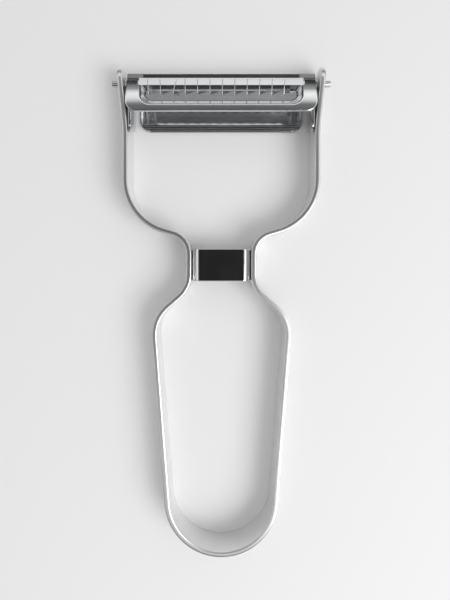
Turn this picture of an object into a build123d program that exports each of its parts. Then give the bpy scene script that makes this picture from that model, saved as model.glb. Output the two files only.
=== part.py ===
from build123d import *
import math
import os

# Stainless steel peeler that lies flat on its strip's lower edge.
# Lengths are in millimetres. +X is to the right, +Y points to the blades and +Z is up.
# The origin is under the middle of the whole length, on the surface that it lies on.

# Strip that makes the frame
half_length = 90.0
strip_width = 12.0
strip_thickness = 1.85
strip_edge_break = 0.35

# Handle loop, waist and arms, all given on the strip's inner face and from the pins down
loop_end_radius = 18.8
loop_side_lean = 4.5
hip_below_waist = 11.4
hip_radius = 13.2
waist_inside = 10.9
waist_straight_length = 19.25
waist_low_radius = 11.7
waist_high_radius = 9.0
waist_below_shoulder = 6.8
arm_inside = 34.1
shoulder_below_pin = 50.6
shoulder_radius = 18.5
arm_bend_below_pin = 18.0
arm_bend_radius = 60.0
arm_inside_at_pin = 36.05

# Waist band
band_length = 11.8
band_above_waist_low = 8.625
band_sheet = 0.9
band_bend_radius = 3.4
band_inset = 0.1

# Pivot pins
pin_radius = 1.2
pin_stand_out = 3.1
pin_end_chamfer = 0.25
pin_head_radius = 2.0
pin_head_thickness = 0.9
pin_running_clearance = 0.05

# Spacer washers
washer_radius = 2.5
washer_thickness = 1.05
washer_chamfer = 0.2

# Side play between the pieces that turn on the pins
side_clearance = 0.12

# Julienne blade, with u along the plate to the rear and n square to it, both from the pins' axis
blade_sheet = 0.7
plate_tilt = 16.2
lip_front_u = -1.35
lip_front_n = 3.15
crease_u = 0.58
crease_n = 3.5
crown_u = 7.5
crown_n = 4.35
plate_rear_u = 14.4
plate_rear_n = 3.45
plate_rear_corner = 4.0
ear_radius = 2.9
ear_rear_u = 6.2
ground_edge_u = 3.65
ground_edge_thickness = 0.08
ground_half_width = 30.2
lip_ground_half_width = 28.6
lip_ground_drop = 0.42
slot_rear_u = 5.45
slot_half_width = 25.2
slot_corner = 0.6
dish_half_width = 30.2
dish_rear_u = 12.6
dish_corner = 4.4
dish_floor_n = 3.2
dish_wall_taper = 52.0

# Julienne teeth, lanced out of the floor of the dish and bent up
tooth_count = 12
tooth_pitch = 4.49
tooth_first_x = -26.35
tooth_base = 1.8
tooth_sheet = 0.5
tooth_tip_u = 3.1
tooth_tip_n = 6.9
tooth_tip_width = 0.25
notch_length = 3.3
bent_tooth = 2
bent_tooth_lean = 24.0

# Peeling blade, with r to the rear of the pins' axis and z above the table
trough_front_r = -3.2
trough_front_z = 3.0
trough_low_r = 0.2
trough_low_z = 0.05
trough_bend_r = 12.0
trough_rear_r = 17.1
trough_rear_z = 2.7
trough_bend_radius = 3.2
trough_half_width = 31.25
trough_corner = 4.5
web_rear_r = 4.4
leaf_bore_wall = 1.85
leaf_top_z = 11.8
leaf_top_rear_r = 19.6
leaf_low_rear_r = 16.8
leaf_low_rear_z = 1.7
leaf_rear_round = 2.4
leaf_top_round = 4.0
leaf_flat_r = 8.0
leaf_bend_round = 0.6
peel_slot_front_r = 4.0
peel_slot_rear_r = 6.0
peel_slot_half_width = 27.0
peel_slot_corner = 0.7
peel_bevel_length = 1.9

# One overrun serves all cuts
overrun = 5.0

# Places that follow from the sizes above
pin_y = half_length - strip_width / 2
pin_z = strip_width / 2
arm_bend_y = pin_y - arm_bend_below_pin
shoulder_y = pin_y - shoulder_below_pin
waist_high_y = shoulder_y - waist_below_shoulder
waist_low_y = waist_high_y - waist_straight_length
hip_y = waist_low_y - hip_below_waist
band_middle_y = waist_low_y + band_above_waist_low
arm_lean = math.degrees(math.atan2(arm_inside_at_pin - arm_inside, pin_y - arm_bend_y))
loop_end_y = -half_length + strip_thickness + loop_end_radius
outer_face_at_pin = arm_inside_at_pin + strip_thickness / math.cos(math.radians(arm_lean))
pin_outer_x = outer_face_at_pin + pin_stand_out
washer_outer_x = arm_inside_at_pin - washer_radius * math.tan(math.radians(arm_lean))
washer_inner_x = washer_outer_x - washer_thickness
ear_outer_x = washer_inner_x - side_clearance
ear_inner_x = ear_outer_x - blade_sheet
leaf_outer_x = ear_inner_x - side_clearance
leaf_inner_x = leaf_outer_x - blade_sheet
head_outer_x = leaf_inner_x - side_clearance
head_inner_x = head_outer_x - pin_head_thickness
bore_radius = pin_radius + pin_running_clearance

# Frame strip: half of the inner face is drawn, given its thickness outwards and mirrored
side_angle = math.radians(loop_side_lean)
side_start = (loop_end_radius * math.cos(side_angle), loop_end_y - loop_end_radius * math.sin(side_angle))
hip_x = side_start[0] + (hip_y - side_start[1]) * math.tan(side_angle)
tip_y = half_length + overrun
tip_x = arm_inside_at_pin + (tip_y - pin_y) * math.tan(math.radians(arm_lean))

with BuildPart() as frame_strip:
    with BuildSketch():
        with BuildLine():
            FilletPolyline(
                (tip_x, tip_y),
                (arm_inside, arm_bend_y),
                (arm_inside, shoulder_y),
                (waist_inside, waist_high_y),
                (waist_inside, waist_low_y),
                (hip_x, hip_y),
                side_start,
                radius=[arm_bend_radius, shoulder_radius, waist_high_radius, waist_low_radius, hip_radius],
            )
            CenterArc((0, loop_end_y), loop_end_radius, -loop_side_lean, loop_side_lean - 90)
            offset(amount=strip_thickness, side=Side.LEFT)
        make_face()
        mirror(about=Plane.YZ)
    extrude(amount=strip_width)
    # The arms end in a half round about the pins
    with BuildSketch(Plane.YZ):
        with Locations((pin_y / 2 - half_length / 2, pin_z)):
            Rectangle(half_length + pin_y, strip_width)
        with Locations((pin_y, pin_z)):
            Circle(strip_width / 2)
    extrude(amount=pin_outer_x + overrun, both=True, mode=Mode.INTERSECT)
    # The broken edge runs on round the arms' ends and along the other edge of the strip
    upper_edges = frame_strip.faces().sort_by(Axis.Z)[-1].edges()
    chamfer([edge for edge in upper_edges if edge.length > 2 * strip_thickness], strip_edge_break)
    with Locations(Plane.YZ.offset(-pin_outer_x)):
        with Locations((pin_y, pin_z)):
            Hole(pin_radius, depth=2 * pin_outer_x)
frame_strip.part.label = "frame_strip"

# Waist band: a flattened tube of sheet between the two sides of the strip
with BuildPart() as waist_band:
    with BuildSketch(Plane.XZ.offset(-(band_middle_y - band_length / 2))):
        with Locations((0, pin_z)):
            RectangleRounded(2 * waist_inside, strip_width - 2 * band_inset, band_bend_radius)
            offset(amount=-band_sheet, mode=Mode.SUBTRACT)
    extrude(amount=-band_length)
waist_band.part.label = "waist_band"

# Pivot pins: a shank pressed through the arm, with a flat head inside the blades
with BuildPart() as pivot_pin_right:
    with BuildSketch(Plane.YZ.offset(head_outer_x)):
        with Locations((pin_y, pin_z)):
            Circle(pin_radius)
    extrude(amount=pin_outer_x - head_outer_x)
    chamfer(pivot_pin_right.faces().sort_by(Axis.X)[-1].edges(), pin_end_chamfer)
    with BuildSketch(Plane.YZ.offset(head_inner_x)):
        with Locations((pin_y, pin_z)):
            Circle(pin_head_radius)
    extrude(amount=pin_head_thickness)
    chamfer(pivot_pin_right.faces().sort_by(Axis.X)[0].edges(), pin_end_chamfer)
pivot_pin_right.part.label = "pivot_pin_right"

with BuildPart() as pivot_pin_left:
    mirror(pivot_pin_right.part, about=Plane.YZ)
pivot_pin_left.part.label = "pivot_pin_left"

# Spacer washers: between the arm and the ear of the julienne blade
with BuildPart() as spacer_washer_right:
    with BuildSketch(Plane.YZ.offset(washer_inner_x)):
        with Locations((pin_y, pin_z)):
            Circle(washer_radius)
            Circle(pin_radius, mode=Mode.SUBTRACT)
    extrude(amount=washer_thickness)
    chamfer(spacer_washer_right.edges().filter_by(GeomType.CIRCLE).sort_by(SortBy.RADIUS)[-2:], washer_chamfer)
spacer_washer_right.part.label = "spacer_washer_right"

with BuildPart() as spacer_washer_left:
    mirror(spacer_washer_right.part, about=Plane.YZ)
spacer_washer_left.part.label = "spacer_washer_left"

# Julienne blade: planes that lie along the tilted plate
tilt = math.radians(plate_tilt)
pin_axis = (0, pin_y, pin_z)
plate_section = Plane(origin=pin_axis, x_dir=(0, -math.cos(tilt), math.sin(tilt)), z_dir=(-1, 0, 0))
plate_plan = Plane(origin=pin_axis, x_dir=(1, 0, 0), z_dir=(0, math.sin(tilt), math.cos(tilt)))
plate_top_n = crown_n + blade_sheet
plate_length = plate_rear_u - lip_front_u
plate_middle_u = (plate_rear_u + lip_front_u) / 2
dish_middle_u = (dish_rear_u + ground_edge_u) / 2
dish_length = dish_rear_u - ground_edge_u
dish_rim_n = crown_n + blade_sheet / 4
wall_angle = math.radians(dish_wall_taper)
half_sheet = blade_sheet / 2
ground_edge_n = crease_n + blade_sheet
tooth_height = tooth_tip_n - dish_floor_n
tooth_xs = [tooth_first_x + index * tooth_pitch for index in range(tooth_count)]


with BuildPart() as julienne_blade:
    # Arched plate with its front lip
    with BuildSketch(plate_section):
        with BuildLine():
            Line((lip_front_u, lip_front_n), (crease_u, crease_n))
            ThreePointArc((crease_u, crease_n), (crown_u, crown_n), (plate_rear_u, plate_rear_n))
            offset(amount=blade_sheet, side=Side.LEFT)
        make_face()
    extrude(amount=ear_outer_x, both=True)
    # Rounded rear corners, seen square to the plate
    with BuildSketch(plate_plan):
        with Locations((0, -plate_middle_u)):
            Rectangle(2 * ear_outer_x, plate_length + overrun)
        with Locations((0, -plate_rear_u + plate_rear_corner)):
            Rectangle(2 * ear_outer_x, 2 * plate_rear_corner + overrun, mode=Mode.SUBTRACT)
            Rectangle(2 * (ear_outer_x - plate_rear_corner), 2 * plate_rear_corner + overrun)
        with Locations(
            (plate_rear_corner - ear_outer_x, -plate_rear_u + plate_rear_corner),
            (ear_outer_x - plate_rear_corner, -plate_rear_u + plate_rear_corner),
        ):
            Circle(plate_rear_corner)
    extrude(amount=plate_top_n + overrun, mode=Mode.INTERSECT)
    # Ears that hang on the pins, each grown up into the middle of the sheet
    with BuildSketch(plate_section.offset(-ear_inner_x), plate_section.offset(ear_outer_x)):
        Polygon(
            (-ear_radius, 0),
            (ear_radius, 0),
            (ear_rear_u, plate_top_n),
            (lip_front_u, plate_top_n),
            align=None,
        )
        Circle(ear_radius)
        with BuildLine():
            lip_line = Line((lip_front_u, lip_front_n + half_sheet), (crease_u, crease_n + half_sheet))
            arch_line = ThreePointArc(
                lip_line @ 1,
                (crown_u, crown_n + half_sheet),
                (plate_rear_u, plate_rear_n + half_sheet),
            )
            Polyline(
                arch_line @ 1,
                (plate_rear_u, -overrun),
                (-ear_radius, -overrun),
                (-ear_radius, lip_front_n),
                lip_line @ 0,
            )
        make_face(mode=Mode.INTERSECT)
        Circle(bore_radius, mode=Mode.SUBTRACT)
    extrude(amount=-blade_sheet)
    # Dish: its outside is added under the plate, then its inside is cut out
    for top_n, bottom_n, spread, dish_mode in (
        (dish_rim_n, dish_floor_n - blade_sheet, 0, Mode.ADD),
        (plate_top_n + blade_sheet, dish_floor_n, -blade_sheet / math.cos(wall_angle), Mode.SUBTRACT),
    ):
        grow = spread + (top_n - dish_rim_n) * math.tan(wall_angle)
        with BuildSketch(plate_plan.offset(top_n)):
            with Locations((0, -dish_middle_u)):
                RectangleRounded(
                    2 * (dish_half_width + grow),
                    dish_length + 2 * grow,
                    dish_corner + grow,
                )
        extrude(amount=bottom_n - top_n, taper=dish_wall_taper, mode=dish_mode)
    # Ground faces: the front lip, and the cutting edge in front of the slot
    with BuildSketch(plate_section):
        Polygon(
            (lip_front_u - overrun, lip_front_n + blade_sheet - lip_ground_drop),
            (lip_front_u, lip_front_n + blade_sheet - lip_ground_drop),
            (crease_u, crease_n + blade_sheet),
            (crease_u, plate_top_n),
            (lip_front_u - overrun, plate_top_n),
            align=None,
        )
    extrude(amount=lip_ground_half_width, both=True, mode=Mode.SUBTRACT)
    with BuildSketch(plate_section):
        Polygon(
            (crease_u, crease_n + blade_sheet),
            (ground_edge_u, ground_edge_n),
            (ground_edge_u, plate_top_n),
            (crease_u, plate_top_n),
            align=None,
        )
    extrude(amount=ground_half_width, both=True, mode=Mode.SUBTRACT)
    # Slot in front of the floor, with a notch to the right of each tooth
    with BuildSketch(plate_plan):
        with Locations((0, -(ground_edge_u + slot_rear_u) / 2)):
            RectangleRounded(2 * slot_half_width, slot_rear_u - ground_edge_u, slot_corner)
        for tooth_x in tooth_xs:
            Polygon(
                (tooth_x, -(ground_edge_u + slot_rear_u) / 2),
                (tooth_x, -slot_rear_u - tooth_base),
                (tooth_x + notch_length, -slot_rear_u),
                align=None,
            )
    extrude(amount=plate_top_n + overrun, mode=Mode.SUBTRACT)
    # Teeth, each a flap that stands on the floor beside its notch and reaches over the edge
    for index, tooth_x in enumerate(tooth_xs):
        lean = math.radians(bent_tooth_lean if index == bent_tooth else 0)
        foot = plate_section.offset(-tooth_x).from_local_coords((0, dish_floor_n, 0))
        tooth_side = plate_section.z_dir * math.cos(lean) + plate_plan.z_dir * math.sin(lean)
        with BuildSketch(Plane(origin=foot, x_dir=plate_section.x_dir, z_dir=tooth_side)):
            Polygon(
                (slot_rear_u, -half_sheet),
                (slot_rear_u + tooth_base, -half_sheet),
                (slot_rear_u + tooth_base, 0),
                (tooth_tip_u + tooth_tip_width, tooth_height),
                (tooth_tip_u, tooth_height),
                (slot_rear_u, 0),
                align=None,
            )
        extrude(amount=tooth_sheet)
julienne_blade.part.label = "julienne_blade"

# Peeling blade: r runs to the rear of the pins' axis and z up from the table
blade_section = Plane(origin=(0, pin_y, 0), x_dir=(0, -1, 0), z_dir=(-1, 0, 0))
blade_plan = Plane(origin=(0, pin_y, 0), x_dir=(1, 0, 0), z_dir=(0, 0, 1))
leaf_front_radius = bore_radius + leaf_bore_wall
leaf_start = (
    -leaf_front_radius * math.sin(tilt),
    pin_z + leaf_front_radius * math.cos(tilt),
)
leaf_shoulder_r = leaf_start[0] + (leaf_top_z - leaf_start[1]) / math.tan(tilt)
notch_width = leaf_inner_x - trough_half_width
notch_x = (leaf_inner_x + trough_half_width) / 2
web_end_r = web_rear_r + notch_width / 2
trough_middle_r = (web_rear_r + trough_rear_r) / 2 - trough_corner / 2

with BuildPart() as peeling_blade:
    # Trough: a front lip, a flat floor and a sloping rear wall
    with BuildSketch(blade_section):
        with BuildLine():
            FilletPolyline(
                (trough_front_r, trough_front_z),
                (trough_low_r, trough_low_z),
                (trough_bend_r, trough_low_z),
                (trough_rear_r, trough_rear_z),
                radius=trough_bend_radius,
            )
            offset(amount=blade_sheet, side=Side.LEFT)
        make_face()
    extrude(amount=leaf_outer_x, both=True)
    # Outline from above: full width in front, open notches beside the leaves behind
    with BuildSketch(blade_plan):
        with Locations((0, -(trough_front_r + web_end_r) / 2 + overrun / 2)):
            Rectangle(2 * leaf_outer_x, web_end_r - trough_front_r + overrun)
        with Locations((notch_x, -web_end_r), (-notch_x, -web_end_r)):
            Circle(notch_width / 2, mode=Mode.SUBTRACT)
        with Locations((0, -trough_middle_r)):
            RectangleRounded(
                2 * trough_half_width,
                trough_rear_r - web_rear_r + trough_corner,
                trough_corner,
            )
    extrude(amount=strip_width, mode=Mode.INTERSECT)
    # Side leaves
    with BuildSketch(blade_section.offset(-leaf_inner_x), blade_section.offset(leaf_outer_x)):
        with BuildLine():
            leaf_line = FilletPolyline(
                (trough_front_r, pin_z),
                (trough_front_r, trough_front_z),
                (trough_low_r, trough_low_z),
                (leaf_flat_r, trough_low_z),
                (leaf_low_rear_r, leaf_low_rear_z),
                (leaf_top_rear_r, leaf_top_z),
                (leaf_shoulder_r, leaf_top_z),
                leaf_start,
                radius=[
                    leaf_bend_round,
                    trough_bend_radius,
                    trough_bend_radius,
                    leaf_rear_round,
                    leaf_rear_round,
                    leaf_top_round,
                ],
            )
            Line(leaf_line @ 1, leaf_line @ 0)
        make_face()
        with Locations((0, pin_z)):
            Circle(leaf_front_radius)
            Circle(bore_radius, mode=Mode.SUBTRACT)
    extrude(amount=-blade_sheet)
    # Slot with a ground cutting edge on its front side
    with BuildSketch(blade_plan):
        with Locations((0, -(peel_slot_front_r + peel_slot_rear_r) / 2)):
            RectangleRounded(
                2 * peel_slot_half_width,
                peel_slot_rear_r - peel_slot_front_r,
                peel_slot_corner,
            )
    extrude(amount=strip_width, mode=Mode.SUBTRACT)
    with BuildSketch(blade_section):
        Polygon(
            (peel_slot_front_r - peel_bevel_length, trough_low_z),
            (peel_slot_front_r, trough_low_z + blade_sheet - ground_edge_thickness),
            (peel_slot_front_r, trough_low_z),
            align=None,
        )
    extrude(amount=peel_slot_half_width, both=True, mode=Mode.SUBTRACT)
peeling_blade.part.label = "peeling_blade"

pieces = [
    frame_strip,
    waist_band,
    pivot_pin_right,
    pivot_pin_left,
    spacer_washer_right,
    spacer_washer_left,
    julienne_blade,
    peeling_blade,
]
os.makedirs("parts", exist_ok=True)
for piece in pieces:
    export_step(piece.part, f"parts/{piece.part.label}.step")
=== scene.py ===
"""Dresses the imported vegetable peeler: bent strip frame, waist band, pins, washers and two blades."""

from __future__ import annotations

import logging
import math
from dataclasses import dataclass
from enum import Enum

import bmesh
import bpy
import numpy as np
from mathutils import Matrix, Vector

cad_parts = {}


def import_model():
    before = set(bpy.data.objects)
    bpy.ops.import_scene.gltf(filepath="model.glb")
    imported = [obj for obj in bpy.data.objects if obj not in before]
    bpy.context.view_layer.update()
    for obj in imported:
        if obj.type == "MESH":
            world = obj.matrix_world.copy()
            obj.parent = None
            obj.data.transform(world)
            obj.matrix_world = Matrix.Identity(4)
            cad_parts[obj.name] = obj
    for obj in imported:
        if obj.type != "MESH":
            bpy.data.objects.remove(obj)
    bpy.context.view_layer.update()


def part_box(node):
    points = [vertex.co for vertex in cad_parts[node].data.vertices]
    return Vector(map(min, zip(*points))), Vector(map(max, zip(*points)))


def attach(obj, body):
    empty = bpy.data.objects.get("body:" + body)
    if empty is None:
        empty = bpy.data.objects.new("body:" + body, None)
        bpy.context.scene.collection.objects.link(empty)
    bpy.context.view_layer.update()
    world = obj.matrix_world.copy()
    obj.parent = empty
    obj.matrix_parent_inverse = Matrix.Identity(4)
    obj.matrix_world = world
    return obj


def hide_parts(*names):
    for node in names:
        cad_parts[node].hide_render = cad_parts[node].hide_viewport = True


LOG = logging.getLogger("peeler")
Array = np.ndarray
Piece = bpy.types.Object
Node = bpy.types.Node
Socket = bpy.types.NodeSocket
Surface = tuple[Array, Array]
Triple = tuple[float, float, float]
Pair = tuple[float, float]
Pairs = tuple[Pair, ...]

MM = 0.001
PIN_Y = 84.0
PIN_Z = 6.0
JULIENNE_TILT = math.radians(16.2)
WELD_DISTANCE = 2e-6
LEAST_EDGE = 1e-6
EDGE_POWER = 2.7


class Side(Enum):
    """The two sides of the peeler, as the sign of X."""

    RIGHT = 1.0
    LEFT = -1.0


class Coordinates(Enum):
    """What a finish lays its pattern on."""

    OBJECT = "Object"
    UV = "UV"


def grid_quads(rows: int, columns: int, close_rows: bool = False, close_columns: bool = False) -> Array:
    """Quads of a rows by columns grid of points, row after row, joined round where asked.

    Args:
        rows: points from the first row to the last.
        columns: points in each row.
        close_rows: join the last row to the first.
        close_columns: join the last column to the first.

    Returns:
        An N by 4 array of point numbers.
    """
    r = np.arange(rows if close_rows else rows - 1)
    c = np.arange(columns if close_columns else columns - 1)
    r0, c0 = np.meshgrid(r, c, indexing="ij")
    r1, c1 = (r0 + 1) % rows, (c0 + 1) % columns
    corners = [r0 * columns + c0, r0 * columns + c1, r1 * columns + c1, r1 * columns + c0]
    return np.stack([k.ravel() for k in corners], axis=1)


def make_piece(name: str, points: Array, quads: Array, sharp: float, uv: Array | None = None) -> Piece:
    """Makes one closed mesh object at the origin from points in millimetres.

    Args:
        name: the object's name.
        points: N by 3 points in millimetres, in the row frame.
        quads: M by 4 point numbers.
        sharp: faces that meet at more than this angle, in degrees, keep a crisp edge.
        uv: N by 2 pattern coordinates in metres, or none.

    Returns:
        The new object.
    """
    mesh = bpy.data.meshes.new(name)
    mesh.from_pydata((points * MM).tolist(), [], quads.tolist())
    if uv is not None:
        layer = mesh.uv_layers.new(name="along")
        corner = np.empty(len(mesh.loops), np.int32)
        mesh.loops.foreach_get("vertex_index", corner)
        layer.data.foreach_set("uv", uv[corner].astype(np.float32).ravel())
    work = bmesh.new()
    work.from_mesh(mesh)
    bmesh.ops.delete(work, geom=[v for v in work.verts if not v.link_faces], context="VERTS")
    bmesh.ops.remove_doubles(work, verts=work.verts, dist=WELD_DISTANCE)
    bmesh.ops.dissolve_degenerate(work, edges=work.edges, dist=LEAST_EDGE)
    bmesh.ops.recalc_face_normals(work, faces=work.faces)
    limit = math.radians(sharp)
    for edge in work.edges:
        edge.smooth = len(edge.link_faces) == 2 and edge.calc_face_angle(0.0) < limit
    for face in work.faces:
        face.smooth = True
    open_edges = sum(not e.is_manifold for e in work.edges)
    work.to_mesh(mesh)
    work.free()
    piece = bpy.data.objects.new(name, mesh)
    bpy.context.scene.collection.objects.link(piece)
    LOG.info("%s: %d faces, %d open edges", name, len(mesh.polygons), open_edges)
    return piece


def quarter(steps: int) -> Array:
    """The angles of a quarter turn in even steps, both ends included."""
    return np.radians(np.linspace(0, 90, steps + 1))


def rounded_line(corners: Array, radii: Array, turn_step: float = 3.0, run_step: float = 3.0) -> tuple[Array, Array]:
    """Points along a line of straight runs whose corners are arcs of the given radii.

    Each arc starts a tangent length, radius times tan(half the turn), before its corner, and its points are the
    centre plus the radius turned evenly from one run's heading to the next.

    Args:
        corners: K by 2 points, the ends included.
        radii: the K - 2 radii at the inner corners.
        turn_step: degrees between the points of an arc.
        run_step: length between the points of a run.

    Returns:
        N by 2 points and their N headings in radians.
    """
    points, headings = [], []
    here = corners[0]
    for k, radius in enumerate(radii, start=1):
        into = corners[k] - corners[k - 1]
        out = corners[k + 1] - corners[k]
        h0, h1 = math.atan2(into[1], into[0]), math.atan2(out[1], out[0])
        turn = (h1 - h0 + math.pi) % (2 * math.pi) - math.pi
        start = corners[k] - into / np.hypot(*into) * radius * math.tan(abs(turn) / 2)
        n = max(2, int(np.hypot(*(start - here)) / run_step) + 1)
        points.append(here + (start - here) * (np.arange(n) / n)[:, None])
        headings.append(np.full(n, h0))
        m = max(3, int(abs(math.degrees(turn)) / turn_step) + 1)
        t = np.linspace(0, 1, m + 1)
        side = math.copysign(1.0, turn)
        centre = start + side * radius * np.array([-math.sin(h0), math.cos(h0)])
        heading = h0 + turn * t
        points.append(centre + side * radius * np.stack([np.sin(heading), -np.cos(heading)], 1))
        headings.append(heading)
        here = points[-1][-1]
        points[-1], headings[-1] = points[-1][:-1], headings[-1][:-1]
    last = corners[-1] - corners[-2]
    n = max(2, int(np.hypot(*(corners[-1] - here)) / run_step) + 1)
    points.append(here + (corners[-1] - here) * np.linspace(0, 1, n + 1)[:, None])
    headings.append(np.full(n + 1, math.atan2(last[1], last[0])))
    return np.concatenate(points), np.concatenate(headings)


def crowned_section(thickness: float, edge: float, arc: int) -> tuple[Array, Array, Array]:
    """Closed section of a strip with crowned edges, as offset across, inset of the edge and share of the height.

    The edges are half superellipses, |across|^p + |up|^p = 1 with p = EDGE_POWER, edge high and as wide as the
    strip is thick.

    Args:
        thickness: the strip's thickness.
        edge: height of the crowned edge.
        arc: points over each edge.

    Returns:
        Arrays of offset from the first face, inset and share from -1 to 1, in order round the section.
    """
    b = np.linspace(0, math.pi, arc + 1)
    power = 2 / EDGE_POWER
    across = np.sign(np.cos(b)) * np.abs(np.cos(b)) ** power
    rise = np.abs(np.sin(b)) ** power
    over_w, over_i = thickness / 2 * (1 - across), edge * (1 - rise)
    at_edge, inside, rows = 0.985, 0.9, 9
    up = np.concatenate([[-1.0, -at_edge], np.linspace(-inside, inside, rows), [at_edge, 1.0]])
    face = np.ones(len(up) - 1)
    w = np.concatenate([0 * face, over_w[:-1], thickness * face, over_w[:0:-1]])
    inset = np.concatenate([edge * face, over_i[:-1], edge * face, over_i[:0:-1]])
    share = np.concatenate([up[:-1], np.ones(arc), up[:0:-1], -np.ones(arc)])
    return w, inset, share


def revolved(profile: Array, segments: int, closed: bool) -> Surface:
    """A profile of (x, radius) turned about the pins' axis, point = (x, pin y + r cos a, pin z + r sin a).

    Args:
        profile: K by 2 points in millimetres.
        segments: points round the turn.
        closed: the profile's last point joins its first.

    Returns:
        Points in millimetres and quads.
    """
    angle = np.linspace(0, 2 * math.pi, segments, endpoint=False)
    x = np.repeat(profile[:, :1], segments, 1)
    y = PIN_Y + profile[:, 1:] * np.cos(angle)
    z = PIN_Z + profile[:, 1:] * np.sin(angle)
    points = np.stack([x, y, z], 2).reshape(-1, 3)
    return points, grid_quads(len(profile), segments, closed, True)


class NodeGraph:
    """The node tree of a material or a world, filled node by node.

    The sources of a node are sockets, which are linked to its inputs, or values, which its inputs are set to.
    """

    def __init__(self, owner: bpy.types.Material | bpy.types.World) -> None:
        owner.use_nodes = True
        self.nodes = owner.node_tree.nodes
        self.links = owner.node_tree.links

    def feed(self, node: Node, sources: dict[str | int, Socket | float | tuple[float, ...]]) -> Node:
        """Gives the inputs of a node, by name or number, their sources."""
        for key, source in sources.items():
            if isinstance(source, Socket):
                self.links.new(source, node.inputs[key])
            else:
                node.inputs[key].default_value = source
        return node

    def add(self, kind: str, sources: dict[str | int, Socket | float | tuple[float, ...]]) -> Node:
        """Adds a node that is ready to be fed."""
        return self.feed(self.nodes.new(kind), sources)

    def math(self, operation: str, *sources: Socket | float) -> Socket:
        """The result of one math node over the sources."""
        made = self.nodes.new("ShaderNodeMath")
        made.operation = operation
        return self.feed(made, dict(enumerate(sources))).outputs["Value"]

    def stretched(self, place: Socket, scale: Triple, offset: Triple = (0.0, 0.0, 0.0)) -> Socket:
        """The place, scaled along each axis and then moved."""
        made = self.add("ShaderNodeMapping", {"Vector": place, "Location": offset, "Scale": scale})
        return made.outputs["Vector"]

    def noise(self, place: Socket, scale: float, detail: float) -> Socket:
        """A noise pattern over the place."""
        made = self.add("ShaderNodeTexNoise", {"Vector": place, "Scale": scale, "Detail": detail})
        return made.outputs["Fac"]

    def ranged(self, value: Socket, before: Pair, after: Pair, smooth: bool = False) -> Socket:
        """The value carried from one range to another and held at both ends."""
        made = self.nodes.new("ShaderNodeMapRange")
        made.interpolation_type = "SMOOTHSTEP" if smooth else "LINEAR"
        names = ("Value", "From Min", "From Max", "To Min", "To Max")
        return self.feed(made, dict(zip(names, (value, *before, *after)))).outputs["Result"]

    def ramp(self, value: Socket, stops: Pairs) -> Socket:
        """A grey ramp over the value, through the given places and tones."""
        made = self.add("ShaderNodeValToRGB", {"Fac": value})
        made.color_ramp.interpolation = "EASE"
        ends = made.color_ramp.elements
        for end, (place, tone) in zip(ends, (stops[0], stops[-1])):
            end.position, end.color = place, (tone, tone, tone, 1.0)
        for place, tone in stops[1:-1]:
            ends.new(place).color = (tone, tone, tone, 1.0)
        return made.outputs["Color"]


@dataclass(frozen=True)
class MetalFinish:
    """A steel finish: tone that drifts over the piece, fine grinding lines and a few scratches.

    The lines give tone, roughness and a slight height, a slow cloud gives tone and smears, and the scratches are
    dull where a second, longer line pattern passes scratch_range.
    """

    name: str
    light: Triple
    dark: Triple
    smooth: float
    rough: float
    lines: Triple
    line_depth: float
    drift: float = 45.0
    scratch: float = 0.25
    smear: float = 0.06
    coordinates: Coordinates = Coordinates.OBJECT
    line_tone: float = 0.45
    cloud_tone: float = 0.6
    line_range: Pair = (0.3, 0.7)
    line_strength: float = 0.5
    scratch_scale: float = 0.35
    scratch_offset: Triple = (3.1, 7.7, 1.3)
    scratch_range: Pair = (0.66, 0.74)

    def material(self) -> bpy.types.Material:
        """Builds the node material once and returns it."""
        found = bpy.data.materials.get(self.name)
        if found:
            return found
        made = bpy.data.materials.new(self.name)
        graph = NodeGraph(made)
        place = graph.add("ShaderNodeTexCoord", {}).outputs[self.coordinates.value]
        grind = graph.noise(graph.stretched(place, self.lines), 1.0, 4.0)
        cloud = graph.noise(place, self.drift, 3.0)

        tone = graph.nodes.new("ShaderNodeMix")
        tone.data_type = "RGBA"
        drift = graph.math("MULTIPLY", cloud, self.cloud_tone)
        blend = graph.math("MULTIPLY_ADD", grind, self.line_tone, drift)
        graph.feed(tone, {"Factor": blend, "A": (*self.dark, 1.0), "B": (*self.light, 1.0)})

        longer = graph.stretched(place, tuple(self.scratch_scale * s for s in self.lines), self.scratch_offset)
        marks = graph.ranged(graph.noise(longer, 1.0, 1.0), self.scratch_range, (0.0, self.scratch))
        ground = graph.ranged(grind, self.line_range, (self.smooth, self.rough))
        dull = graph.math("MULTIPLY_ADD", cloud, self.smear, marks)
        height = graph.add("ShaderNodeBump", {
            "Strength": self.line_strength, "Distance": self.line_depth, "Height": grind,
        })

        graph.feed(graph.nodes["Principled BSDF"], {
            "Metallic": 1.0, "Base Color": tone.outputs["Result"], "Roughness": graph.math("ADD", ground, dull),
            "Normal": height.outputs["Normal"],
        })
        return made


SATIN_STRIP = MetalFinish(
    "satin_strip", (0.96, 0.96, 0.96), (0.83, 0.83, 0.835), 0.25, 0.35, (14.0, 5200.0, 5200.0), 0.0000018,
    coordinates=Coordinates.UV,
)
POLISHED_BAND = MetalFinish(
    "polished_band", (0.86, 0.86, 0.865), (0.78, 0.78, 0.785), 0.05, 0.10, (900.0, 40.0, 900.0), 0.0000012, drift=160.0,
    scratch=0.45,
)
BLADE_STEEL = MetalFinish(
    "ground_blade", (0.80, 0.81, 0.82), (0.62, 0.63, 0.64), 0.07, 0.16, (30.0, 3800.0, 3800.0), 0.0000007, drift=90.0,
)
PIN_STEEL = MetalFinish(
    "turned_pin", (0.78, 0.78, 0.78), (0.58, 0.58, 0.58), 0.16, 0.28, (4000.0, 500.0, 500.0), 0.0000015, drift=300.0,
)


def dress(piece: Piece, finish: MetalFinish) -> None:
    """Puts one finish on a whole piece."""
    piece.data.materials.clear()
    piece.data.materials.append(finish.material())


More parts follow.
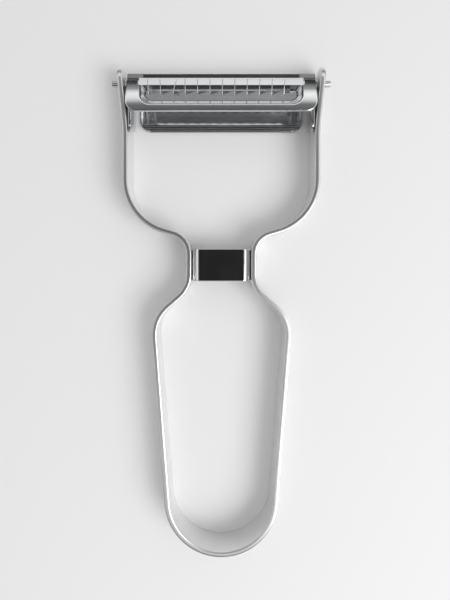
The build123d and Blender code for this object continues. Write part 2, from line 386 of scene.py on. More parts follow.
@dataclass
class FrameStrip:
    """One stainless strip bent on edge into the handle loop, the waist and the two arms."""

    width: float = 12.0
    thickness: float = 1.85
    edge: float = 0.35
    end_radius: float = 18.8
    end_y: float = -69.35
    side_lean: float = 4.5
    hip_y: float = -4.05
    waist_half: float = 10.9
    waist_low_y: float = 7.35
    waist_high_y: float = 26.6
    arm_half: float = 34.1
    shoulder_y: float = 33.4
    arm_bend_y: float = 66.0
    arm_half_at_pin: float = 36.05
    radii: tuple[float, ...] = (60.0, 18.5, 9.0, 11.7, 13.2)
    end_steps: int = 30
    cap_steps: int = 18

    def inner_line(self) -> tuple[Array, Array]:
        """The strip's inner face in plan, from the right arm round the loop to the left one, with its headings."""
        lean = math.radians(self.side_lean)
        low = np.array([self.end_radius * math.cos(lean), self.end_y - self.end_radius * math.sin(lean)])
        hip = low + np.array([math.tan(lean), 1.0]) * (self.hip_y - low[1])
        corners = np.array([
            (self.arm_half_at_pin, PIN_Y), (self.arm_half, self.arm_bend_y), (self.arm_half, self.shoulder_y),
            (self.waist_half, self.waist_high_y), (self.waist_half, self.waist_low_y), hip, low,
        ])
        points, headings = rounded_line(corners, np.array(self.radii))
        turn = np.radians(np.linspace(-self.side_lean, -90.0, self.end_steps + 1))[1:]
        end = np.stack([self.end_radius * np.cos(turn), self.end_y + self.end_radius * np.sin(turn)], 1)
        points, headings = np.concatenate([points, end]), np.concatenate([headings, turn - math.pi / 2])
        left = points[-2::-1] * np.array([-1.0, 1.0])
        return np.concatenate([points, left]), np.concatenate([headings, -headings[-2::-1]])

    def build(self) -> Piece:
        """Carries the crowned section along the inner line and closes both arms with a half-round end.

        At an arm's end the column at angle a of the half circle holds the section at height (h - inset) cos a,
        moved out by (h - inset) sin a, so that the edge runs round the end at one width.
        """
        line, heading = self.inner_line()
        half = self.width / 2
        w, inset, share = crowned_section(self.thickness, self.edge, arc=12)
        cap = np.radians(np.linspace(90, 0, self.cap_steps, endpoint=False))
        plan = np.pad(line, ((self.cap_steps, self.cap_steps), (0, 0)), mode="edge")
        turn = np.pad(heading, self.cap_steps, mode="edge")
        out = np.concatenate([-np.sin(cap), np.zeros(len(line)), np.sin(cap[::-1])])
        tall = np.concatenate([np.cos(cap), np.ones(len(line)), np.cos(cap[::-1])])
        slant = abs(math.sin(heading[0]))
        height = (half - inset)[:, None]
        along = height * out / slant
        x = plan[:, 0] - np.sin(turn) * w[:, None] + np.cos(turn) * along
        y = plan[:, 1] + np.cos(turn) * w[:, None] + np.sin(turn) * along
        z = PIN_Z + share[:, None] * height * tall
        run = np.concatenate([[0.0], np.cumsum(np.hypot(*np.diff(plan, axis=0).T))])
        girth = np.concatenate([[0.0], np.cumsum(np.hypot(np.diff(w), np.diff(share * (half - inset))))])
        uv = np.stack([(run + along) * MM, np.broadcast_to(girth[:, None] * MM, along.shape)], 2)
        piece = make_piece(
            "strip_frame", np.stack([x, y, z], 2).reshape(-1, 3),
            grid_quads(len(w), len(plan), close_rows=True), sharp=60.0, uv=uv.reshape(-1, 2),
        )
        dress(piece, SATIN_STRIP)
        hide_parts("frame_strip")
        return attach(piece, "frame")


@dataclass
class WaistBand:
    """The polished flattened tube welded between the strip's sides at the waist."""

    sheet: float = 0.9
    bend: float = 3.4
    edge: float = 0.32
    crown: float = 0.09
    bend_points: int = 13
    flat_points: int = 15
    upright: float = 0.999

    def build(self) -> Piece:
        """Carries the sheet's rounded section round a rounded rectangle in X and Z.

        The ring's point at turn a is a corner centre plus the bend radius at a. The flats bulge by crown times
        one minus the square of the place along them, as a pressed tube's do.
        """
        low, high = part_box("waist_band")
        low, high = np.array(low) / MM, np.array(high) / MM
        middle, half = (high + low) / 2, (high - low) / 2
        run_x, run_z = half[0] - self.bend, half[2] - self.bend
        a = np.radians(np.concatenate([np.linspace(0, 90, self.bend_points) + 90 * k for k in range(4)]))
        sx = np.repeat([1, -1, -1, 1], self.bend_points) * run_x
        sz = np.repeat([1, 1, -1, -1], self.bend_points) * run_z
        bends = np.stack([sx + self.bend * np.cos(a), sz + self.bend * np.sin(a), np.cos(a), np.sin(a)], 1)
        bends = np.split(bends, 4)
        flat = np.linspace(-1, 1, self.flat_points + 2)[1:-1]
        none, full = np.zeros_like(flat), np.ones_like(flat)
        top = np.stack([-flat * run_x, half[2] * full, none, full], 1)
        side = np.stack([-half[0] * full, -flat * run_z, -full, none], 1)
        ring = np.concatenate([bends[0], top, bends[1], side, bends[2], -top, bends[3], -side])
        dip = self.crown * np.clip(ring[:, 0] / run_x, -1, 1) ** 2
        ring[:, 1] -= np.sign(ring[:, 3]) * np.where(np.abs(ring[:, 3]) > self.upright, dip, 0.0)
        w, inset, share = crowned_section(self.sheet, self.edge, arc=10)
        x = ring[:, 0] - ring[:, 2] * w[:, None]
        y = np.broadcast_to((middle[1] + share * (half[1] - inset))[:, None], x.shape)
        z = middle[2] + ring[:, 1] - ring[:, 3] * w[:, None]
        piece = make_piece(
            "band_at_waist", np.stack([x, y, z], 2).reshape(-1, 3),
            grid_quads(len(w), len(ring), True, True), sharp=60.0,
        )
        dress(piece, POLISHED_BAND)
        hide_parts("waist_band")
        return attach(piece, "frame")


@dataclass
class Pivot:
    """A headed pin pressed through one arm and the washer that keeps the julienne blade off the arm."""

    side: Side
    radius: float = 1.2
    outer_x: float = 41.01
    end_round: float = 0.3
    head_radius: float = 2.0
    head_inner_x: float = 32.07
    head_outer_x: float = 32.97
    head_dome: float = 0.28
    head_edge: float = 0.04
    washer_radius: float = 2.5
    washer_bore: float = 1.25
    washer_outer_x: float = 35.78
    washer_inner_x: float = 34.73
    washer_round: float = 0.25
    segments: int = 40

    def pin_profile(self) -> Array:
        """The pin's profile: a low dome on the head, the shank, and a rounded far end."""
        dome = np.linspace(0, 1, 7)
        head = np.stack([
            self.head_inner_x + self.head_dome * dome**2, self.head_radius * np.sin(dome * math.pi / 2),
        ], 1)
        t = quarter(5)
        r = self.end_round
        end = np.stack([self.outer_x - r + r * np.sin(t), self.radius - r + r * np.cos(t)], 1)
        middle = np.array([
            (self.head_outer_x - self.head_edge, self.head_radius),
            (self.head_outer_x, self.head_radius - self.head_edge),
            (self.head_outer_x, self.radius), (self.outer_x - r, self.radius),
        ])
        tail = np.array([(self.outer_x, self.radius / 2), (self.outer_x, 0.0)])
        return np.concatenate([head, middle, end[1:], tail])

    def washer_profile(self) -> Array:
        """The washer's closed profile with rounded outer edges."""
        t = quarter(4)
        r, a, b = self.washer_round, self.washer_inner_x, self.washer_outer_x
        near = np.stack([a + r - r * np.cos(t), self.washer_radius - r + r * np.sin(t)], 1)
        far = np.stack([b - r + r * np.sin(t), self.washer_radius - r + r * np.cos(t)], 1)
        return np.concatenate([[(a, self.washer_bore)], near, far, [(b, self.washer_bore)]])

    def build(self) -> list[Piece]:
        """Turns both profiles about the pins' axis on this side."""
        word = self.side.name.lower()
        profiles = (("pivot_pin", self.pin_profile(), False), ("spacer_washer", self.washer_profile(), True))
        made = []
        for kind, profile, closed in profiles:
            points, quads = revolved(profile, self.segments, closed)
            points[:, 0] *= self.side.value
            piece = make_piece(f"{kind.split('_')[1]}_{word}", points, quads, sharp=38.0)
            dress(piece, PIN_STEEL)
            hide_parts(f"{kind}_{word}")
            made.append(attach(piece, "frame"))
        return made


def sheet_solid(top: Array, bottom: Array, keep: Array) -> Surface:
    """A sheet between two grids of points, with walls round its outline and round every opening.

    Args:
        top: R by C by 3 points of the upper face.
        bottom: the same grid on the lower face.
        keep: the R - 1 by C - 1 cells that are there.

    Returns:
        Points and quads.
    """
    rows, columns = top.shape[:2]
    number = np.arange(rows * columns).reshape(rows, columns)
    a, b, c, d = number[:-1, :-1], number[:-1, 1:], number[1:, 1:], number[1:, :-1]
    under = rows * columns
    faces = [np.stack([k[keep] for k in (a, b, c, d)], 1), np.stack([k[keep] + under for k in (d, c, b, a)], 1)]
    ringed = np.pad(keep, 1)
    beside = (
        (ringed[:-2, 1:-1], b, a), (ringed[2:, 1:-1], d, c), (ringed[1:-1, :-2], a, d), (ringed[1:-1, 2:], c, b),
    )
    for there, p, q in beside:
        edge = keep & ~there
        faces.append(np.stack([p[edge], q[edge], q[edge] + under, p[edge] + under], 1))
    return np.concatenate([top.reshape(-1, 3), bottom.reshape(-1, 3)]), np.concatenate(faces)


def reach(angles: Array, outline: Array, least: float) -> Array:
    """How far rays from the origin go to their last crossing of a closed outline, by cross products.

    Args:
        angles: the rays' angles in radians.
        outline: N by 2 points of the outline.
        least: the smallest reach that is given.

    Returns:
        The reach of each ray.
    """
    tiny, slack = 1e-12, 1e-9
    p, e = outline[None], (np.roll(outline, -1, 0) - outline)[None]
    d = np.stack([np.cos(angles), np.sin(angles)], 1)[:, None, :]
    cross = d[..., 0] * e[..., 1] - d[..., 1] * e[..., 0]
    cross = np.where(np.abs(cross) < tiny, tiny, cross)
    t = (p[..., 0] * e[..., 1] - p[..., 1] * e[..., 0]) / cross
    s = (p[..., 0] * d[..., 1] - p[..., 1] * d[..., 0]) / cross
    hit = (t > 0) & (s > -slack) & (s < 1 + slack)
    return np.maximum(np.where(hit, t, 0.0).max(1), least)


def bored_plate(
    outline: Array, least: float, bore: float, near: float, far: float, edge: float = 0.12,
) -> tuple[Array, Array, Array]:
    """A flat plate round a bore, as rays from the bore to the outline, with slightly rounded edges.

    Args:
        outline: closed outline round the bore's centre.
        least: radius of the eye round the bore.
        bore: radius of the bore.
        near: where the inner face is along the bore's axis.
        far: where the outer face is.
        edge: how much the edges are rounded.

    Returns:
        The place along the axis (6 by A) and the two coordinates in the plate's plane (6 by A each).
    """
    rays = 144
    corner = np.arctan2(outline[:, 1], outline[:, 0])
    angles = np.unique(np.concatenate([np.linspace(-math.pi, math.pi, rays, endpoint=False), corner]))
    rim = reach(angles, outline, least)
    eye = np.full_like(rim, bore)
    rho = np.stack([eye, rim - edge, rim, rim, rim - edge, eye])
    along = np.array([near, near, near + edge, far - edge, far, far])[:, None] * np.ones_like(rho)
    return along, rho * np.cos(angles), rho * np.sin(angles)


def rounded_columns(x: Array, past: Array, inner: float, corner: float) -> Array:
    """A grid's columns, drawn in at the rear so that the outer ones follow two round corners.

    Beyond inner a column keeps its share of the corner, whose width is sqrt(corner^2 - past^2).

    Args:
        x: the places of the columns.
        past: how far the rows are behind the start of the corners.
        inner: where the corners start, to each side.
        corner: radius of the corners.

    Returns:
        The place across of each point of the grid.
    """
    wide = np.sqrt(corner**2 - np.clip(past, 0, corner) ** 2)
    side = np.abs(x)
    return np.sign(x) * (np.minimum(side, inner) + np.maximum(side - inner, 0) * wide / corner)


def edge_drop(beside: Array, behind: Array, corner: float, edge_round: float) -> Array:
    """How far a sheet's upper face falls at its outer edges, which are rounded by a quarter circle.

    Args:
        beside: how far a point is outside the start of the round corners, across.
        behind: the same to the rear.
        corner: radius of the corners.
        edge_round: radius of the edges.

    Returns:
        The fall at each point, r - sqrt(r^2 - n^2), with r the edge_round and n how far the point is into it.
    """
    out = np.where((beside > 0) & (behind > 0), np.hypot(beside, behind), np.maximum(beside, behind))
    near = np.clip(edge_round - (corner - out), 0, edge_round)
    return edge_round - np.sqrt(edge_round**2 - near**2)


def joined(parts: list[Surface]) -> Surface:
    """Several sets of points and quads as one."""
    start = np.cumsum([0] + [len(p) for p, _ in parts[:-1]])
    return np.concatenate([p for p, _ in parts]), np.concatenate([q + s for (_, q), s in zip(parts, start)])


@dataclass
class JulienneBlade:
    """The outer blade: an arched plate with a ground lip and edge, a pressed dish, twelve lanced teeth and two ears.

    Sizes are u to the rear along the tilted plate and n square to it, both from the pins' axis. A fade is how far
    past a half width it ends, and how wide it is.
    """

    sheet: float = 0.7
    lip: Pair = (-1.35, 3.15)
    lip_drop: float = -0.02
    lip_half: float = 28.6
    lip_fade: Pair = (0.15, 0.2)
    bare_lip_slope: float = 0.08
    crease: Pair = (0.58, 3.5)
    crown: Pair = (7.5, 4.35)
    rear: Pair = (14.4, 3.45)
    corner: float = 4.0
    half_width: float = 34.61
    edge_round: float = 0.28
    ground_u: float = 3.65
    ground_half: float = 30.2
    ground_fade: Pair = (0.2, 0.35)
    ground_sheet: float = 0.08
    thin_run: float = 0.3
    slot_u: float = 5.45
    slot_half: float = 25.2
    dish_half: float = 29.8
    dish_rear_u: float = 12.3
    dish_corner: float = 4.4
    dish_floor: float = 3.05
    floor_rise: float = 0.085
    rise_run: float = 5.0
    floor_end_u: float = 7.7
    wall_run: float = 2.5
    wall_straight: float = 0.45
    tooth_count: int = 12
    tooth_pitch: float = 4.49
    tooth_first: float = -26.35
    tooth_base: float = 1.8
    tooth_sheet: float = 0.38
    tooth_thinning: float = 0.09
    tooth_cut: float = 0.05
    tooth_bend: float = 0.35
    tooth_root: float = 0.3
    tooth_sink: float = 0.1
    tooth_tip: Pair = (3.1, 6.9)
    tip_width: float = 0.25
    rear_power: float = 0.92
    notch: float = 3.3
    bent_tooth: int = 2
    bent_slant: float = 24.0
    bent_power: float = 0.7
    ear_inner: float = 33.91
    ear_radius: float = 2.9
    ear_rear_u: float = 6.2
    bore: float = 1.25

    @property
    def tooth_x(self) -> Array:
        """Where the teeth stand, from left to right."""
        return self.tooth_first + self.tooth_pitch * np.arange(self.tooth_count)

    def place(self, x: Array, u: Array, n: Array) -> Array:
        """Points in the row frame of places on the tilted plate."""
        c, s = math.cos(JULIENNE_TILT), math.sin(JULIENNE_TILT)
        return np.stack(np.broadcast_arrays(x, PIN_Y - u * c + n * s, PIN_Z + u * s + n * c), -1)

    def underside(self, u: Array) -> Array:
        """The sheet's lower line: straight up to the crease, then the circle through crease, crown and rear edge."""
        p = np.array([self.crease, self.crown, self.rear])
        centre = np.linalg.solve(2 * (p[1:] - p[0]), (p[1:] ** 2).sum(1) - (p[0] ** 2).sum())
        radius = np.hypot(*(p[0] - centre))
        arch = centre[1] + np.sqrt(radius**2 - (u - centre[0]) ** 2)
        slope = (self.crease[1] - self.lip[1]) / (self.crease[0] - self.lip[0])
        return np.where(u < self.crease[0], self.crease[1] + (u - self.crease[0]) * slope, arch)

    @staticmethod
    def inside(side: Array, half: float, fade: Pair) -> Array:
        """One inside a half width and zero outside it, with a fade between."""
        return np.clip((half + fade[0] - side) / fade[1], 0, 1)

    def levels(self, x: Array, u: Array) -> tuple[Array, Array]:
        """Height of the upper and lower face over the pins' axis.

        The upper face is the arch, ground flat in front of the slot and on the lip. In the dish it goes down to the
        floor with the share s of the way in from the rim, w s + (1 - w) s^2 (3 - 2 s), where w is wall_straight, and
        the front ramp falls straight to the floor. The outer edges are rounded by a quarter circle.
        """
        side = np.abs(x)
        under = self.underside(u)
        over = under + self.sheet
        ground = self.crease[1] + self.sheet
        lip_low = self.lip[1] + self.sheet - self.lip_drop
        lip = ground - (self.crease[0] - u) / (self.crease[0] - self.lip[0]) * (ground - lip_low)
        bare_lip = ground - (self.crease[0] - u) * self.bare_lip_slope
        lipped = bare_lip + (lip - bare_lip) * self.inside(side, self.lip_half, self.lip_fade)
        flat = over + (ground - over) * self.inside(side, self.ground_half, self.ground_fade)
        out_x, out_u = side - (self.dish_half - self.dish_corner), u - (self.dish_rear_u - self.dish_corner)
        out = np.hypot(np.maximum(out_x, 0), np.maximum(out_u, 0)) + np.minimum(np.maximum(out_x, out_u), 0)
        s = np.clip((self.dish_corner - out) / self.wall_run, 0, 1)
        s = self.wall_straight * s + (1 - self.wall_straight) * s * s * (3 - 2 * s)
        fall = np.clip((u - self.ground_u) / (self.slot_u - self.ground_u), 0, 1)
        floor = self.dish_floor + self.floor_rise * np.clip(u - self.slot_u, 0, self.rise_run)
        behind = np.maximum(over - (over - floor) * s, ground + (floor - ground) * fall)
        top = np.where(u <= self.crease[0], lipped, np.where(u <= self.ground_u, flat, behind))
        thick = np.clip((side - self.ground_half) / self.thin_run, 0, 1)
        thin = self.ground_sheet + (self.sheet - self.ground_sheet) * thick
        bottom = np.where(u <= self.ground_u, under, top - thin - (self.sheet - thin) * fall)
        beside, past = side - (self.half_width - self.corner), u - (self.rear[0] - self.corner)
        return top - edge_drop(beside, past, self.corner, self.edge_round), bottom

    def plate(self) -> Surface:
        """The pressed plate as a grid over X and u, whose rows follow the slot's sawtooth edge.

        Between the slot and the floor the row at share t is edge + t (floor_end_u - edge), where edge falls from
        the slot's rear plus a tooth's base, at the tooth, back to the slot's rear over the notch.
        """
        inner, corner_u = self.half_width - self.corner, self.rear[0] - self.corner
        corner_columns = inner + self.corner * np.sin(quarter(12))
        wall_columns = np.arange(26.9, 30.6, 0.25)
        fade_columns = [self.slot_half, 28.58, 28.72, 30.08, 30.37]
        end_columns = np.concatenate([corner_columns, wall_columns, fade_columns])
        tooth_columns = (self.tooth_x[:, None] + np.array([-0.02, 0.0, 0.8, 1.6, 2.5, 3.3, 3.9])).ravel()
        x = np.unique(np.round(np.concatenate([end_columns, -end_columns, tooth_columns]), 4))
        since = (x[:, None] - self.tooth_x + 1e-6) / self.notch
        here = (since >= 0) & (since <= 1)
        edge = self.slot_u + self.tooth_base * np.where(here, 1 - since, 0).max(1)
        front_rows = np.array([-1.35, -1.3, -0.4, 0.5, 0.58, 0.66, 1.5, 2.4, 3.2, 3.6, 3.65])
        slot_rows = self.ground_u + (edge - self.ground_u) * np.linspace(0, 1, 5)[1:, None]
        floor_rows = edge + (self.floor_end_u - edge) * np.linspace(0, 1, 8)[1:, None]
        back_rows = np.concatenate([np.arange(8.0, 10.3, 0.3), corner_u + self.corner * np.sin(quarter(22))])
        u = np.concatenate([front_rows[:, None] + 0 * x, slot_rows, floor_rows, back_rows[:, None] + 0 * x])
        grid_x = rounded_columns(x, u - corner_u, inner, self.corner)
        top, bottom = self.levels(grid_x, u)
        keep = np.ones((len(u) - 1, len(x) - 1), bool)
        middle = (x[1:] + x[:-1]) / 2
        first = len(front_rows) - 1
        last = first + len(slot_rows)
        keep[first:last, np.abs(middle) < self.slot_half] = False
        keep[first + 1:last, (middle > self.tooth_first) & (middle < -self.slot_half)] = False
        return sheet_solid(self.place(grid_x, u, top), self.place(grid_x, u, bottom), keep)

    def teeth(self) -> Surface:
        """The flaps: each follows the floor, turns up through a small arc and runs straight to its tip.

        Along the flap its front edge goes from the slot to the tip and its rear edge from the notch's depth to it,
        and the section is a rectangle with cut corners that gets thinner to the tip. One tooth is bent aside on its
        way up.
        """
        arc, up = np.linspace(0, 1, 7), np.linspace(0, 1, 11)[1:]
        turn = np.concatenate([[0.0], arc, np.ones_like(up)]) * (math.pi / 2)
        rise = np.concatenate([[0.0], np.zeros_like(arc), up])
        rings = len(rise)
        lead = np.where(np.arange(rings) == 0, -self.tooth_root, 0.0)
        length = rise * (self.tooth_tip[1] - self.dish_floor)
        bend, half_sheet = self.tooth_bend, self.tooth_sheet / 2
        mid_x = self.tooth_x[:, None] - half_sheet - bend + bend * np.sin(turn) + length * np.cos(turn) + lead
        mid_n = self.dish_floor + bend - half_sheet - self.tooth_sink - bend * np.cos(turn) + length * np.sin(turn)
        front = self.slot_u + (self.tooth_tip[0] - self.slot_u) * rise
        root_u = self.slot_u + self.tooth_base
        rear = root_u + (self.tooth_tip[0] + self.tip_width - root_u) * rise**self.rear_power
        half, cut = half_sheet - self.tooth_thinning * rise, self.tooth_cut
        across = np.stack([half - cut, half, half, half - cut, cut - half, -half, -half, cut - half], -1)
        along = np.stack([front, front + cut, rear - cut, rear, rear, rear - cut, front + cut, front], -1)
        bent = np.arange(self.tooth_count) == self.bent_tooth
        slant = np.where(bent, math.tan(math.radians(self.bent_slant)), 0.0)
        aside = slant[:, None, None] * (root_u - along) * rise[:, None] ** self.bent_power
        x = mid_x[..., None] - np.sin(turn)[:, None] * across + aside
        n = mid_n[:, None] + np.cos(turn)[:, None] * across
        points = self.place(x, along, n).reshape(-1, 3)
        sides = across.shape[1]
        tube = grid_quads(rings, sides, False, True)
        cap = np.array([(0, 1, 2, 3), (0, 3, 4, 7), (7, 4, 5, 6)])
        one = np.concatenate([tube, cap, cap[:, ::-1] + (rings - 1) * sides])
        return points, (one + (np.arange(self.tooth_count) * rings * sides)[:, None, None]).reshape(-1, 4)

    def ear(self, side: Side) -> Surface:
        """One ear: a plate round its bore that widens up into the middle of the sheet."""
        u = np.array([self.lip[0], self.crease[0], 2.4, 4.3, self.ear_rear_u])
        top = np.stack([u, self.underside(u) + self.sheet / 2], 1)
        outline = np.concatenate([[(-self.ear_radius, 0.0)], top, [(self.ear_radius, 0.0)], [(0.0, -0.1)]])
        along, u, n = bored_plate(outline, self.ear_radius, self.bore, self.ear_inner, self.half_width)
        points = self.place(side.value * along, u, n).reshape(-1, 3)
        return points, grid_quads(6, along.shape[1], True, True)

    def build(self) -> Piece:
        """Puts plate, teeth and ears together as the one stamping that they are."""
        points, quads = joined([self.plate(), self.teeth(), self.ear(Side.RIGHT), self.ear(Side.LEFT)])
        piece = make_piece("blade_julienne", points, quads, sharp=28.0)
        dress(piece, BLADE_STEEL)
        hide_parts("julienne_blade")
        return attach(piece, "julienne_head")


@dataclass
class PeelingBlade:
    """The inner blade: a shallow trough with a ground slot between two tall leaves that hang on the pins.

    Sizes are r to the rear of the pins' axis and z above the table.
    """

    sheet: float = 0.7
    trough: Pairs = ((-3.2, 3.0), (0.2, 0.05), (12.0, 0.05), (17.1, 2.7))
    bend: float = 3.2
    half_width: float = 31.25
    corner: float = 4.5
    web_rear: float = 4.4
    web_fade: float = 2.0
    leaf_inner: float = 33.09
    leaf_outer: float = 33.79
    leaf_foot: Pairs = ((8.0, 0.05), (16.8, 1.7))
    leaf_rear: float = 19.6
    leaf_top: float = 11.8
    leaf_radii: tuple[float, ...] = (0.6, 3.2, 3.2, 2.4, 2.4, 4.0)
    eye: float = 3.1
    bore: float = 1.25
    slot: Pair = (4.0, 6.0)
    slot_half: float = 27.0
    bevel: float = 1.9
    ground_sheet: float = 0.08
    end_rise: float = 0.55
    end_run: float = 2.6
    rise_from: float = 9.8
    rise_power: float = 3.6
    edge_round: float = 0.25

    def section(self) -> tuple[Array, Array, Array]:
        """The sheet's lower line from the front edge to the rear one, as r, z and heading.

        It runs straight down, round the front bend and level to rise_from. Behind that it rises to the trough's
        last point with the distance from rise_from to the power of rise_power.
        """
        floor_z, (rear_r, rear_z) = self.trough[1][1], self.trough[3]
        line, turn = rounded_line(np.array(self.trough), np.array([self.bend, self.bend]), 4.0, 1.0)
        front = (np.abs(turn) > 1e-9) & (line[:, 0] < self.web_rear)
        flat = [1.6, 2.1, 2.7, 3.4, 4.0, 4.4, 5.0, 6.0, 7.0, 8.0, 9.0, 9.6, 10.2, 10.8, 11.4, 12.0]
        slope = rear_r - self.corner + self.corner * np.sin(quarter(23))
        behind = np.concatenate([flat, slope])
        past = np.maximum(behind - self.rise_from, 0)
        bow = (rear_z - floor_z) / (rear_r - self.rise_from) ** self.rise_power
        r = np.concatenate([line[front, 0], behind])
        z = np.concatenate([line[front, 1], floor_z + bow * past**self.rise_power])
        heading = np.concatenate([turn[front], np.arctan(self.rise_power * bow * past ** (self.rise_power - 1))])
        return r, z, heading

    def trough_sheet(self) -> Surface:
        """The trough and its front web as a grid over X and the section's line.

        The ends rise by end_rise times the square of the share of the last end_run, the sheet is ground thin in
        front of the slot, and the rear corners are quarter circles.
        """
        r, z, heading = (value[:, None] for value in self.section())
        inner, past = self.half_width - self.corner, r - (self.trough[3][0] - self.corner)
        corner_columns = inner + self.corner * np.sin(quarter(13))
        web_columns = [31.6, 32.2, 32.7, self.leaf_inner, self.leaf_outer]
        slot_columns = [self.slot_half, *np.linspace(1.5, 25.5, 17)]
        x = np.concatenate([corner_columns, web_columns, slot_columns])
        x = np.unique(np.round(np.concatenate([x, -x]), 4))
        grid_x = rounded_columns(x, past, inner, self.corner)
        side = np.abs(grid_x)
        clear = np.clip((r - self.web_rear) / self.web_fade, 0, 1)
        rise = self.end_rise * np.clip((side - self.half_width + self.end_run) / self.end_run, 0, 1) ** 2 * clear
        drop = edge_drop(side - inner, past, self.corner, self.edge_round)
        top = self.sheet - np.where(r > self.web_rear, drop, 0)
        ground = np.clip((r - self.slot[0] + self.bevel) / self.bevel, 0, 1) * (r <= self.slot[0] + 1e-6)
        low = np.where(side <= self.slot_half + 1e-6, ground * (self.sheet - self.ground_sheet), 0)
        faces = [
            np.stack([grid_x, PIN_Y - (r - np.sin(heading) * up), z + np.cos(heading) * up + rise], -1)
            for up in (top, low)
        ]
        row, middle = (r[1:] + r[:-1]) / 2, np.abs(x[1:] + x[:-1]) / 2
        beside = (row > self.web_rear) & (middle > self.half_width)
        in_slot = (row > self.slot[0]) & (row < self.slot[1]) & (middle < self.slot_half)
        return sheet_solid(*faces, ~(beside | in_slot))

    def leaf(self, side: Side) -> Surface:
        """One side leaf with its eye round the pin, rounded at every corner of its outline."""
        start = np.array([-self.eye * math.sin(JULIENNE_TILT), PIN_Z + self.eye * math.cos(JULIENNE_TILT)])
        shoulder = start[0] + (self.leaf_top - start[1]) / math.tan(JULIENNE_TILT)
        corners = np.array([
            (self.trough[0][0], PIN_Z), *self.trough[:2], *self.leaf_foot, (self.leaf_rear, self.leaf_top),
            (shoulder, self.leaf_top), start,
        ])
        outline, _ = rounded_line(corners, np.array(self.leaf_radii), 6.0, 2.0)
        outline = outline - np.array([0.0, PIN_Z])
        along, r, z = bored_plate(outline, self.eye, self.bore, self.leaf_inner, self.leaf_outer)
        points = np.stack([side.value * along, PIN_Y - r, PIN_Z + z], -1).reshape(-1, 3)
        return points, grid_quads(6, along.shape[1], True, True)

    def build(self) -> Piece:
        """Puts the trough and both leaves together as the one stamping that they are."""
        points, quads = joined([self.trough_sheet(), self.leaf(Side.RIGHT), self.leaf(Side.LEFT)])
        piece = make_piece("blade_peeling", points, quads, sharp=28.0)
        dress(piece, BLADE_STEEL)
        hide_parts("peeling_blade")
        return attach(piece, "peeling_head")


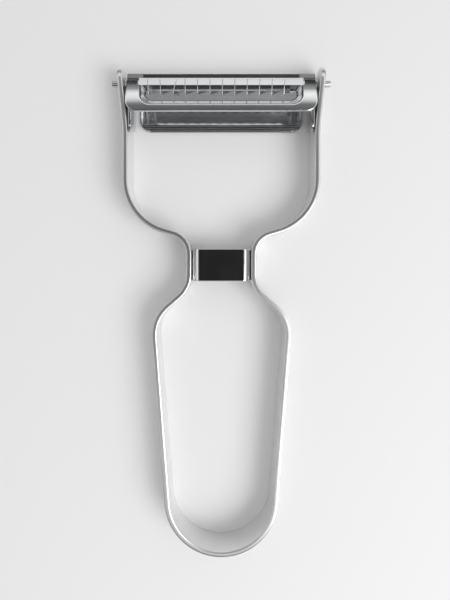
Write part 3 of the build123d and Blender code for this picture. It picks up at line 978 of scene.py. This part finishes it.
@dataclass
class Studio:
    """Pale floor, one soft key lamp from the lower right, the room and the camera."""

    floor_tone: float = 0.86
    floor_half: float = 4.0
    floor_z: float = -2e-5
    key_place: Triple = (0.45, -0.30, 0.60)
    key_size: float = 0.50
    key_watts: float = 3.4
    room_light: float = 0.61
    room_side: float = 0.2
    horizon_tones: Pairs = ((0.0, 0.9), (0.05, 0.65), (0.1, 0.0), (1.0, 0.0))
    wall_tones: Pairs = (
        (0.0, 0.04), (0.3, 0.05), (0.4, 0.34), (0.49, 0.42), (0.55, 1.2), (0.62, 1.5), (0.7, 1.3), (0.8, 1.1),
        (1.0, 1.0),
    )
    patch_lean: float = 6.0
    patch_tones: Pairs = (
        (0.0, 1.0), (0.77, 1.0), (0.82, 0.8), (0.87, 0.2), (0.94, 0.17), (0.98, 0.02), (1.0, 0.02),
    )
    behind_tone: float = 0.08
    behind_rise: float = 1.6
    behind_range: Pair = (0.45, 0.75)
    camera_place: Triple = (0.0, 0.01585, 0.169)
    camera_lens: Pair = (26.0, 36.0)
    camera_shift: Pair = (0.0062, -0.0575)
    camera_clip: Pair = (0.005, 20.0)

    def floor(self) -> None:
        """A large flat floor just under the peeler."""
        mesh = bpy.data.meshes.new("floor")
        half, z = self.floor_half, self.floor_z
        mesh.from_pydata([(-half, -half, z), (half, -half, z), (half, half, z), (-half, half, z)], [], [(0, 1, 2, 3)])
        piece = bpy.data.objects.new("floor", mesh)
        bpy.context.scene.collection.objects.link(piece)
        paint = bpy.data.materials.new("floor_paint")
        graph = NodeGraph(paint)
        tone = (self.floor_tone, self.floor_tone, self.floor_tone * 1.003, 1.0)
        graph.feed(graph.nodes["Principled BSDF"], {"Base Color": tone, "Roughness": 0.9, "Specular IOR Level": 0.1})
        mesh.materials.append(paint)

    def key_lamp(self) -> None:
        """A square soft lamp aimed at the origin."""
        data = bpy.data.lights.new("key", "AREA")
        data.shape = "SQUARE"
        data.size = self.key_size
        data.energy = self.key_watts
        lamp = bpy.data.objects.new("key", data)
        lamp.location = self.key_place
        lamp.rotation_mode = "QUATERNION"
        lamp.rotation_quaternion = lamp.location.to_track_quat("Z", "Y")
        lamp.visible_camera = False
        bpy.context.scene.collection.objects.link(lamp)

    def room(self) -> None:
        """An even room for the light, and for the camera and the gloss one with a horizon, lit walls and dark places.

        Its tone is the larger of the horizon's glow and the product of the walls' tone by height, the dark patch
        overhead, the dark place low behind the handle and a slow rise to the right.
        """
        world = bpy.data.worlds.new("room")
        graph = NodeGraph(world)
        even = graph.feed(graph.nodes["Background"], {"Color": (1.0, 1.0, 1.0, 1.0), "Strength": self.room_light})
        where = graph.add("ShaderNodeTexCoord", {}).outputs["Generated"]
        split = graph.add("ShaderNodeSeparateXYZ", {"Vector": where}).outputs
        facing = graph.nodes.new("ShaderNodeVectorMath")
        facing.operation = "DOT_PRODUCT"
        lean = math.radians(self.patch_lean)
        graph.feed(facing, {0: where, 1: (0.0, math.sin(lean), math.cos(lean))})
        patch = graph.ramp(facing.outputs["Value"], self.patch_tones)
        height = graph.math("MULTIPLY_ADD", split["Z"], self.behind_rise, split["Y"])
        behind = graph.ranged(height, self.behind_range, (self.behind_tone, 1.0), smooth=True)
        across = graph.math("MULTIPLY_ADD", split["X"], self.room_side, 1.0)
        walls = graph.math("MULTIPLY", graph.ramp(split["Z"], self.wall_tones), across)
        walls = graph.math("MULTIPLY", graph.math("MULTIPLY", walls, patch), behind)
        tone = graph.math("MAXIMUM", walls, graph.ramp(split["Z"], self.horizon_tones))
        seen = graph.add("ShaderNodeBackground", {"Strength": tone})
        path = graph.add("ShaderNodeLightPath", {}).outputs
        either = graph.math("MAXIMUM", path["Is Camera Ray"], path["Is Glossy Ray"])
        either = graph.math("MAXIMUM", either, path["Is Transmission Ray"])
        mix = graph.add("ShaderNodeMixShader", {
            0: either, 1: even.outputs["Background"], 2: seen.outputs["Background"],
        })
        graph.feed(graph.nodes["World Output"], {"Surface": mix.outputs["Shader"]})
        bpy.context.scene.world = world

    def camera(self) -> None:
        """A camera that looks straight down, with the photograph's framing."""
        data = bpy.data.cameras.new("camera")
        data.lens, data.sensor_width = self.camera_lens
        data.shift_x, data.shift_y = self.camera_shift
        data.clip_start, data.clip_end = self.camera_clip
        camera = bpy.data.objects.new("camera", data)
        camera.location = self.camera_place
        bpy.context.scene.collection.objects.link(camera)
        bpy.context.scene.camera = camera

    def build(self) -> None:
        """Sets the whole stage."""
        self.floor()
        self.key_lamp()
        self.room()
        self.camera()
        bpy.context.scene.view_settings.view_transform = "Standard"


def main() -> None:
    """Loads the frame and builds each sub-assembly in order."""
    logging.basicConfig(level=logging.INFO, format="%(name)s: %(message)s")
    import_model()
    Studio().build()
    made = [FrameStrip().build(), WaistBand().build()]
    for side in Side:
        made += Pivot(side).build()
    made += [PeelingBlade().build(), JulienneBlade().build()]
    for piece in made:
        corners = np.array([v.co for v in piece.data.vertices]) / MM
        LOG.info("%s: %s to %s mm", piece.name, corners.min(0).round(2), corners.max(0).round(2))


if __name__ == "__main__":
    main()
